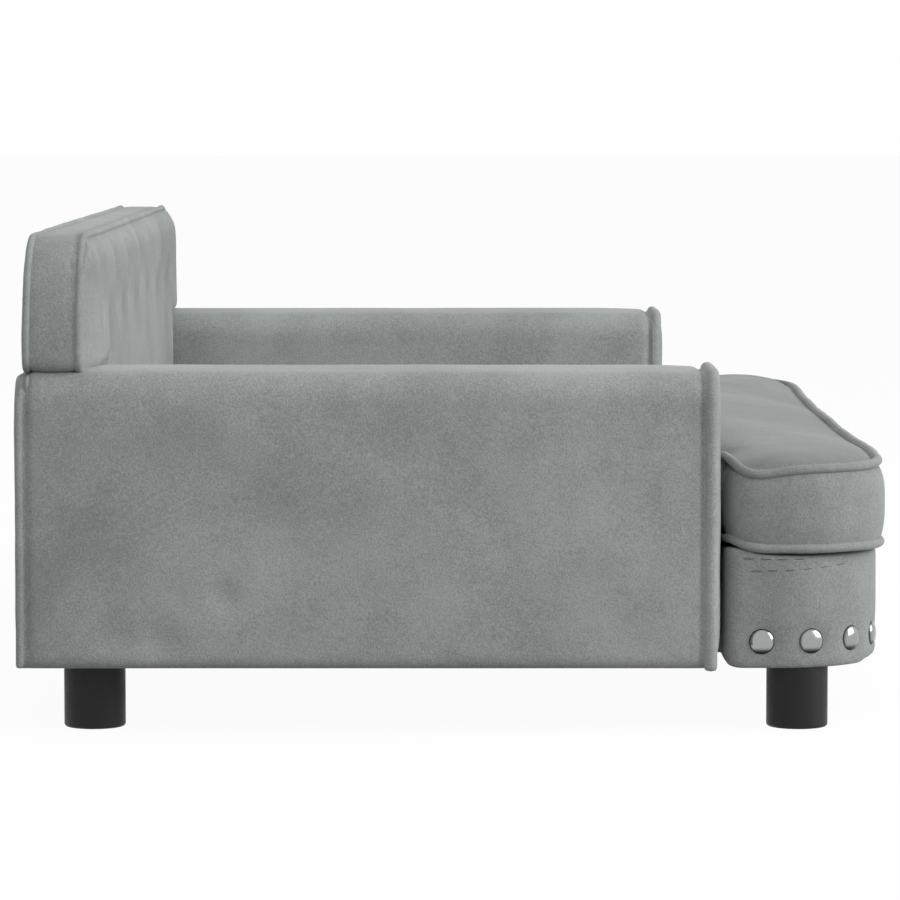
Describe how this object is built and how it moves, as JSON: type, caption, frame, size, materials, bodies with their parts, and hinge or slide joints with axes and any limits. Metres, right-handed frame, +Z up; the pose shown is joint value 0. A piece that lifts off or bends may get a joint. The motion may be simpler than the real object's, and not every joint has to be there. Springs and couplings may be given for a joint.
{
  "type": "dog sofa bed",
  "caption": "Small upholstered dog sofa bed with box arms, a tufted T-shaped back, a loose seat cushion, chrome nail trim and black feet.",
  "frame": {"origin": "on the floor, under the middle of the box", "axes": "+X along the width, to the right seen from the front; -Y to the front; +Z up"},
  "size_m": [0.9, 0.536, 0.304],
  "materials": {
    "velvet": "matte",
    "piping_cord": "matte",
    "foam": "matte",
    "lining": "matte",
    "zip_tape": "matte",
    "plywood": "matte",
    "black_plastic": "satin",
    "nail_chrome": "polished",
    "zinc_steel": "satin",
    "zip_metal": "satin"
  },
  "bodies": {
    "sofa_frame": {"arm_bolts": "zinc_steel", "arm_left_bottom_rail": "plywood", "arm_left_cover": "velvet", "arm_left_foam": "foam", "arm_left_front_panel": "velvet", "arm_left_front_piping": "piping_cord", "arm_left_inner_panel": "plywood", "arm_left_outer_panel": "plywood", "arm_left_posts": "plywood", "arm_left_rear_panel": "velvet", "arm_left_rear_piping": "piping_cord", "arm_left_top_rail": "plywood", "arm_right_bottom_rail": "plywood", "arm_right_cover": "velvet", "arm_right_foam": "foam", "arm_right_front_panel": "velvet", "arm_right_front_piping": "piping_cord", "arm_right_inner_panel": "plywood", "arm_right_outer_panel": "plywood", "arm_right_posts": "plywood", "arm_right_rear_panel": "velvet", "arm_right_rear_piping": "piping_cord", "arm_right_top_rail": "plywood", "back_board": "plywood", "back_bolts": "zinc_steel", "back_bottom_rail": "plywood", "back_buttons": "velvet", "back_cover": "velvet", "back_foam": "foam", "back_front_piping": "piping_cord", "back_posts": "plywood", "back_rear_panel": "velvet", "back_rear_piping": "piping_cord", "back_top_rail": "plywood", "base_centre_rail": "plywood", "base_corner_block_left": "plywood", "base_corner_block_right": "plywood", "base_cover": "velvet", "base_deck": "plywood", "base_front_foam": "foam", "base_front_rail": "plywood", "base_rear_rail": "plywood", "base_side_rails": "plywood", "deck_cloth": "lining", "dust_cover": "lining", "foot_bolts": "zinc_steel", "foot_front_left": "black_plastic", "foot_front_right": "black_plastic", "foot_rear_left": "black_plastic", "foot_rear_right": "black_plastic", "nailheads": "nail_chrome", "t_nuts": "zinc_steel"},
    "seat_cushion": {"cushion_core": "foam", "cushion_cover": "velvet", "cushion_top_piping": "piping_cord", "cushion_bottom_piping": "piping_cord", "cushion_zip": "zip_tape"},
    "slider": {"zip_slider": "zip_metal"}
  },
  "joints": [
    {"name": "seat_cushion_lift", "type": "slide", "parent": "sofa_frame", "child": "seat_cushion", "axis": [0, 0, 1], "range_m": [0, 0.21]},
    {"name": "zip_slide", "type": "slide", "parent": "seat_cushion", "child": "slider", "axis": [-1, 0, 0], "range_m": [0, 0.45]}
  ]
}
